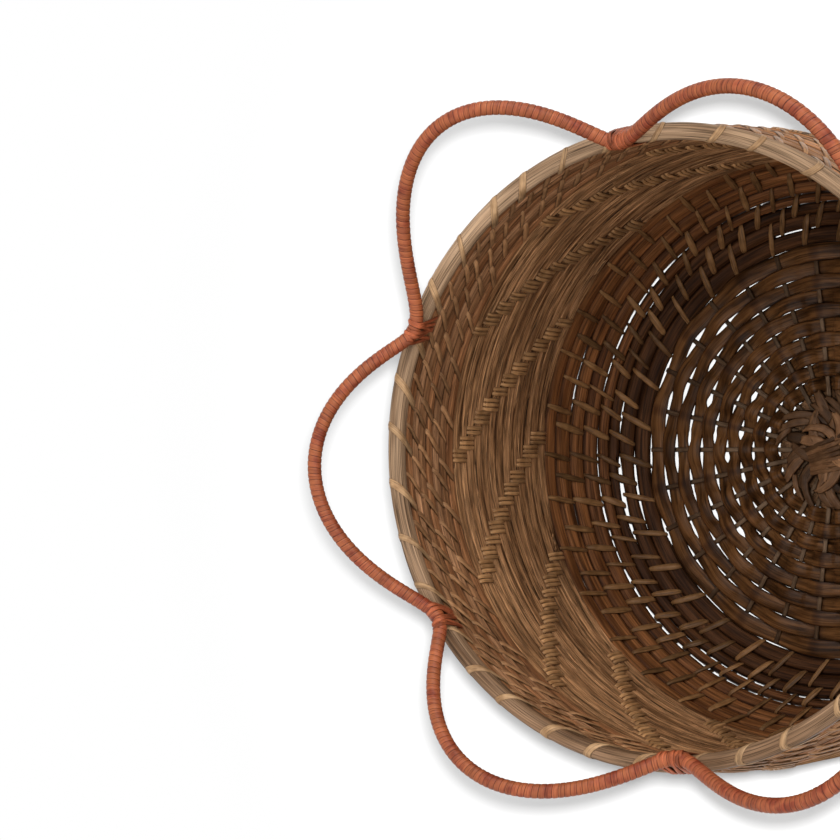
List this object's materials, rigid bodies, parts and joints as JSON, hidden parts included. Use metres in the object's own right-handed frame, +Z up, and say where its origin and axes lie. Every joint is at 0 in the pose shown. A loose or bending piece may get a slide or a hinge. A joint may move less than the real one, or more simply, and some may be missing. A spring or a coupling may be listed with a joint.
{
  "type": "basket",
  "caption": "Round coiled rattan basket with a woven base, a barrel-shaped wall, a thick rim hoop and wrapped petal loops that reach out and up from the rim.",
  "frame": {"origin": "centre of the circle that the basket stands on, at the floor", "axes": "+Z up along the basket's own axis, +X through the lashing between the last petal loop and the first, +Y through the middle of the second petal loop"},
  "size_m": [0.3861, 0.4341, 0.3077],
  "materials": {
    "spokes": "flat split sticks, matt",
    "weavers": "dark flat strips, satin",
    "centre": "flat peel bound over crossed sticks, matt",
    "lower_coils": "dark brown strand bundles, satin",
    "stepped_coils": "pale brown split strand bundles, matt",
    "upper_coils": "reddish brown strand bundles, satin",
    "rim": "smooth pale strand bundle, satin",
    "rods": "terracotta peel wound round the rod, semi-gloss",
    "lashings": "terracotta peel turns, semi-gloss"
  },
  "bodies": {
    "root": {"base_spokes": "spokes", "centre_binding_upper": "centre", "centre_binding_lower": "centre", "base_weaver_01": "weavers", "base_weaver_02": "weavers", "base_weaver_03": "weavers", "base_weaver_04": "weavers", "base_weaver_05": "weavers", "base_weaver_06": "weavers", "base_weaver_07": "weavers", "base_weaver_08": "weavers", "base_weaver_09": "weavers", "base_weaver_10": "weavers", "lower_coil_01": "lower_coils", "lower_coil_02": "lower_coils", "lower_coil_03": "lower_coils", "lower_coil_04": "lower_coils", "lower_coil_05": "lower_coils", "lower_coil_06": "lower_coils", "lower_coil_07": "lower_coils", "lower_coil_08": "lower_coils", "stepped_coil_01": "stepped_coils", "stepped_coil_02": "stepped_coils", "stepped_coil_03": "stepped_coils", "stepped_coil_04": "stepped_coils", "stepped_coil_05": "stepped_coils", "stepped_coil_06": "stepped_coils", "stepped_coil_07": "stepped_coils", "stepped_coil_08": "stepped_coils", "stepped_coil_09": "stepped_coils", "stepped_coil_10": "stepped_coils", "stepped_coil_11": "stepped_coils", "stepped_coil_12": "stepped_coils", "stepped_coil_13": "stepped_coils", "upper_coil_01": "upper_coils", "upper_coil_02": "upper_coils", "upper_coil_03": "upper_coils", "upper_coil_04": "upper_coils", "upper_coil_05": "upper_coils", "upper_coil_06": "upper_coils", "upper_coil_07": "upper_coils", "rim_hoop": "rim", "petal_rod_01": "rods", "petal_rod_02": "rods", "petal_rod_03": "rods", "petal_rod_04": "rods", "petal_rod_05": "rods", "petal_rod_06": "rods", "petal_lashing_01": "lashings", "petal_lashing_02": "lashings", "petal_lashing_03": "lashings", "petal_lashing_04": "lashings", "petal_lashing_05": "lashings", "petal_lashing_06": "lashings"}
  },
  "joints": []
}
